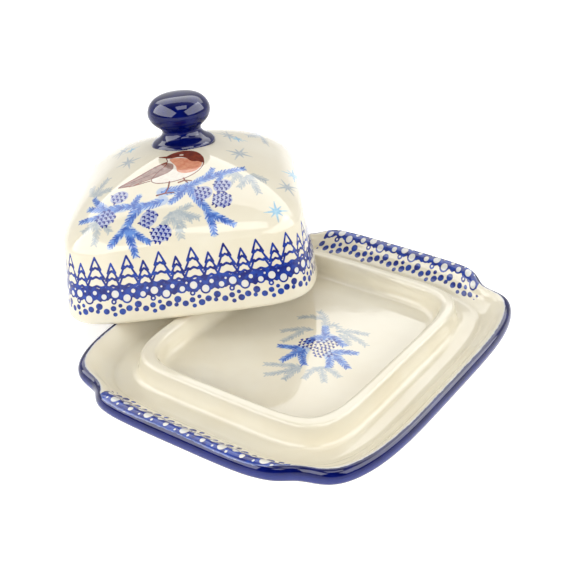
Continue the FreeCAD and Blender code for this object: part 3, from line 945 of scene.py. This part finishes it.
def cobalt_glaze():
    """Deep cobalt glaze with paler clouds and paler specks scattered at random."""
    nodes = Nodes("cobalt_glaze")
    tone = nodes.mix(nodes.ramp(nodes.noise(6.0, 3.0), 0.3, 0.7), COBALT_DARK, COBALT_PALE)
    specks = nodes.ramp(nodes.noise(0.8, 1.0), 0.74, 0.8)
    tone = nodes.mix(nodes.math("MULTIPLY", specks, 0.35), tone, linear(60, 84, 170))
    glossy(nodes, tone, 1.0, 1.35, 0.035, 0.005)
    return nodes.material


def layer(name, dark, pale, cover=0.95, soft=0.09, wobble=0.12):
    """One painted layer: its attribute's name, its two tones, how well it covers and how soft it is."""
    return dict(name=name, dark=linear(*dark), pale=linear(*pale), cover=cover, soft=soft, wobble=wobble)


BORDER_LAYERS = [
    layer("dot_ink", (0, 22, 108), (18, 62, 152), 0.98, 0.12),
    layer("band_ink", (0, 20, 106), (12, 56, 150), 0.98, 0.1),
    dict(name="hole_ink"),
]
NATURE_LAYERS = [
    layer("grey_ink", (128, 146, 162), (160, 170, 176), 0.78, 0.3, 0.3),
    layer("wash_ink", (108, 144, 200), (142, 172, 210), 0.66, 0.45, 0.6),
    layer("needle_ink", (26, 72, 158), (84, 126, 194), 0.9, 0.13),
]
CONE_LAYER = layer("cone_ink", (0, 16, 108), (24, 42, 134), 0.97, 0.1)
BIRD_LAYERS = [
    layer("star_ink", (84, 156, 198), (138, 186, 208), 0.85, 0.25, 0.2),
    layer("white_ink", (222, 216, 206), (212, 204, 194), 0.9),
    layer("breast_ink", (190, 108, 74), (206, 140, 106), 0.92, 0.15),
    layer("wing_ink", (116, 78, 68), (146, 112, 102), 0.9, 0.12),
    layer("cap_ink", (92, 26, 8), (124, 46, 18), 0.97, 0.1),
    layer("eye_ink", (208, 188, 172), (208, 188, 172), 0.95),
]


# ---------------------------------------------------------------- stage

def softbox(name, place, aim, size, power, colour=(1.0, 1.0, 1.0)):
    """A rectangular light aimed at a point; places in metres."""
    light = bpy.data.lights.new(name, "AREA")
    light.shape = "RECTANGLE"
    light.size, light.size_y = size
    light.energy = power
    light.color = colour
    lamp = bpy.data.objects.new(name, light)
    bpy.context.scene.collection.objects.link(lamp)
    lamp.location = place
    lamp.rotation_euler = (Vector(aim) - Vector(place)).to_track_quat("-Z", "Y").to_euler()
    return lamp


def around(azimuth, elevation, distance):
    """A point at a distance from the middle of the dish, azimuth counted from the camera's."""
    turn = math.radians(CAMERA_AZIMUTH + azimuth)
    rise = math.radians(elevation)
    return Vector((distance * math.cos(rise) * math.cos(turn), distance * math.cos(rise) * math.sin(turn),
                   distance * math.sin(rise)))


def make_stage():
    """Pale floor, soft lights and a light grey room."""
    mesh = bpy.data.meshes.new("floor")
    half = 6.0
    corners = [(-half, -half, 0), (half, -half, 0), (half, half, 0), (-half, half, 0)]
    mesh.from_pydata(corners, [], [(0, 1, 2, 3)])
    floor = bpy.data.objects.new("floor", mesh)
    floor.location.z = -0.0002
    bpy.context.scene.collection.objects.link(floor)
    nodes = Nodes("floor_paper")
    shader = nodes.add("ShaderNodeBsdfPrincipled")
    clouds = nodes.ramp(nodes.noise(40.0), 0.3, 0.7)
    tone = nodes.mix(clouds, (0.93, 0.93, 0.93, 1.0), (0.94, 0.94, 0.94, 1.0))
    nodes.link(tone, shader.inputs["Base Color"])
    shader.inputs["Roughness"].default_value = 0.9
    shader.inputs["Specular IOR Level"].default_value = 0.1
    shader.inputs["Emission Color"].default_value = (1.0, 1.0, 1.0, 1.0)
    shader.inputs["Emission Strength"].default_value = 0.4
    nodes.link(shader.outputs[0], nodes.add("ShaderNodeOutputMaterial").inputs["Surface"])
    floor.data.materials.append(nodes.material)
    aim = (0.0, 0.02, 0.03)
    # Soft light that shapes the dish, and wide white cards that only show as reflections.
    for name, place, size, power in (
            ("left_light", around(-62.0, 26.0, 1.2), (0.8, 0.6), 5.6),
            ("right_light", around(80.0, 24.0, 1.2), (0.7, 0.55), 7.0),
            ("front_light", around(-6.0, 26.0, 1.2), (0.8, 0.5), 8.0),
            ("top_light", around(180.0, 74.0, 1.3), (1.3, 1.0), 2.7)):
        softbox(name, place, aim, size, power).visible_glossy = False
    for name, place, size, power in (
            ("left_card", around(-66.0, 34.0, 1.2), (2.2, 0.98), 56.0),
            ("right_card", around(78.0, 36.0, 1.2), (1.9, 0.95), 42.0),
            ("front_card", around(16.0, 72.0, 1.2), (0.66, 0.44), 6.6),
            ("back_card", around(180.0, 52.0, 1.3), (2.4, 1.0), 30.0)):
        softbox(name, place, aim, size, power).visible_diffuse = False
    world = bpy.data.worlds.new("room")
    world.use_nodes = True
    tree = world.node_tree
    sky = tree.nodes["Background"]
    sky.inputs["Color"].default_value = (1.0, 0.995, 0.985, 1.0)
    # The walls behind and beside the dish are white, and the room behind the camera is dim.
    ahead = tree.nodes.new("ShaderNodeVectorMath")
    ahead.operation = "DOT_PRODUCT"
    ahead.inputs[1].default_value = -around(0.0, 0.0, 1.0)
    walls = tree.nodes.new("ShaderNodeMapRange")
    walls.interpolation_type = "SMOOTHSTEP"
    walls.inputs["From Min"].default_value = -0.55
    walls.inputs["From Max"].default_value = 0.35
    walls.inputs["To Min"].default_value = 0.06
    walls.inputs["To Max"].default_value = 0.9
    tree.links.new(tree.nodes.new("ShaderNodeTexCoord").outputs["Generated"], ahead.inputs[0])
    tree.links.new(ahead.outputs["Value"], walls.inputs["Value"])
    tree.links.new(walls.outputs["Result"], sky.inputs["Strength"])
    bpy.context.scene.world = world
    bpy.context.scene.view_settings.view_transform = "Standard"


def make_camera():
    """The camera that sees the dish from the front left."""
    data = bpy.data.cameras.new("camera")
    data.lens = CAMERA_LENS
    data.sensor_width = 36.0
    data.clip_start = 0.01
    camera = bpy.data.objects.new("camera", data)
    bpy.context.scene.collection.objects.link(camera)
    camera.location = around(0.0, CAMERA_ELEVATION, CAMERA_DISTANCE * MM)
    toward = Vector(CAMERA_AIM) * MM - camera.location
    turn = toward.to_track_quat("-Z", "Y").to_matrix() @ Matrix.Rotation(math.radians(CAMERA_ROLL), 3, "Z")
    camera.rotation_euler = turn.to_euler()
    bpy.context.scene.camera = camera


def main():
    """Build every piece, give it its glaze and set it on its body."""
    make_camera()
    make_stage()
    random = np.random.default_rng(7)
    tray = make_tray(random)
    cover = make_cover(random)
    knob = make_knob()
    tray_layers = BORDER_LAYERS + NATURE_LAYERS + [CONE_LAYER]
    tray.data.materials.append(painted_glaze("tray_cream_glaze", tray_layers, True))
    cone_wash = layer("conewash_ink", (168, 174, 200), (132, 142, 186), 0.85, 0.15)
    cover_layers = BORDER_LAYERS + NATURE_LAYERS + [cone_wash, CONE_LAYER] + BIRD_LAYERS
    cover.data.materials.append(painted_glaze("cover_cream_glaze", cover_layers, False))
    knob.data.materials.append(cobalt_glaze())
    for piece, node, body, slot in (
            (tray, "tray", "tray", "tray_glaze"),
            (cover, "cover", "cover", "cover_glaze"),
            (knob, "knob", "cover", "knob_glaze")):
        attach(piece, body)
        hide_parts(node)


main()
